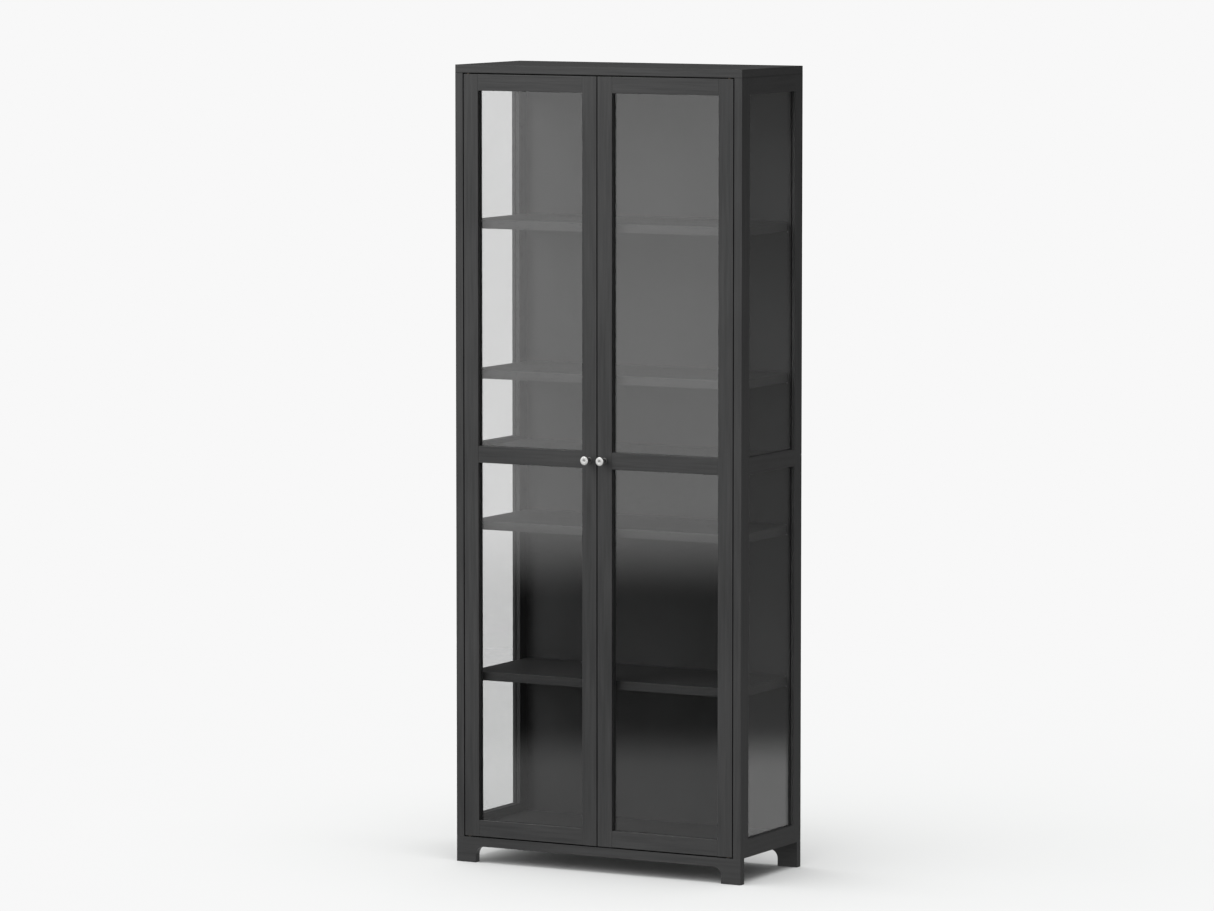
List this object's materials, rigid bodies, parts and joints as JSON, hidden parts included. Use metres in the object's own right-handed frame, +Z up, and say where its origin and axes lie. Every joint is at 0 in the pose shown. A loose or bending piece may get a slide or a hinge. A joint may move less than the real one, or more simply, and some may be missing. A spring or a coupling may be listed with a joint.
{
  "type": "china cabinet",
  "caption": "Tall china cabinet with glazed double doors and glazed sides, loose shelves, round door knobs and arched foot boards.",
  "frame": {"origin": "on the floor, under the middle of the whole cabinet's box, knobs included", "axes": "+Z up, -Y towards the doors, +X towards the right-hand door as seen from the front"},
  "size_m": [0.8, 0.358, 2],
  "materials": {
    "painted_wood": "satin charcoal paint on wood",
    "painted_board": "thin fibreboard with a charcoal face",
    "clear_glass": "clear float glass",
    "knob_metal": "satin nickel",
    "zinc_plated_steel": "zinc plated",
    "cast_zinc": "dull die-cast zinc",
    "brass": "turned",
    "catch_plastic": "moulded"
  },
  "bodies": {
    "carcass": {"top_panel": "painted_wood", "bottom_panel": "painted_wood", "middle_shelf": "painted_wood", "shelf_1": "painted_wood", "shelf_2": "painted_wood", "shelf_3": "painted_wood", "shelf_4": "painted_wood", "back_panel_upper": "painted_board", "back_panel_lower": "painted_board", "front_foot_board": "painted_wood", "rear_foot_board": "painted_wood", "front_cleat": "painted_wood", "left_side_front_stile": "painted_wood", "left_side_rear_stile": "painted_wood", "left_side_top_rail": "painted_wood", "left_side_middle_rail": "painted_wood", "left_side_bottom_rail": "painted_wood", "right_side_front_stile": "painted_wood", "right_side_rear_stile": "painted_wood", "right_side_top_rail": "painted_wood", "right_side_middle_rail": "painted_wood", "right_side_bottom_rail": "painted_wood", "left_side_upper_glass": "clear_glass", "left_side_lower_glass": "clear_glass", "left_side_glass_beads": "painted_wood", "right_side_upper_glass": "clear_glass", "right_side_lower_glass": "clear_glass", "right_side_glass_beads": "painted_wood", "pivot_pins": "zinc_plated_steel", "magnetic_catches": "catch_plastic", "shelf_pins": "zinc_plated_steel", "cam_bolts": "zinc_plated_steel", "cam_locks": "cast_zinc", "back_panel_screws": "zinc_plated_steel", "foot_brackets": "zinc_plated_steel", "foot_bracket_screws": "zinc_plated_steel"},
    "left_door": {"left_door_hinge_stile": "painted_wood", "left_door_meeting_stile": "painted_wood", "left_door_top_rail": "painted_wood", "left_door_middle_rail": "painted_wood", "left_door_bottom_rail": "painted_wood", "left_door_upper_glass": "clear_glass", "left_door_lower_glass": "clear_glass", "left_door_glass_beads": "painted_wood", "left_knob": "knob_metal", "left_knob_screw": "zinc_plated_steel", "left_pivot_bushes": "brass", "left_strike_plates": "zinc_plated_steel"},
    "right_door": {"right_door_hinge_stile": "painted_wood", "right_door_meeting_stile": "painted_wood", "right_door_top_rail": "painted_wood", "right_door_middle_rail": "painted_wood", "right_door_bottom_rail": "painted_wood", "right_door_upper_glass": "clear_glass", "right_door_lower_glass": "clear_glass", "right_door_glass_beads": "painted_wood", "right_knob": "knob_metal", "right_knob_screw": "zinc_plated_steel", "right_pivot_bushes": "brass", "right_strike_plates": "zinc_plated_steel"}
  },
  "joints": [
    {"name": "left_door_hinge", "type": "hinge", "parent": "carcass", "child": "left_door", "pos_m": [-0.364, -0.144, 0], "axis": [0, 0, -1], "range_deg": [0, 110]},
    {"name": "right_door_hinge", "type": "hinge", "parent": "carcass", "child": "right_door", "pos_m": [0.364, -0.144, 0], "axis": [0, 0, 1], "range_deg": [0, 110]}
  ]
}
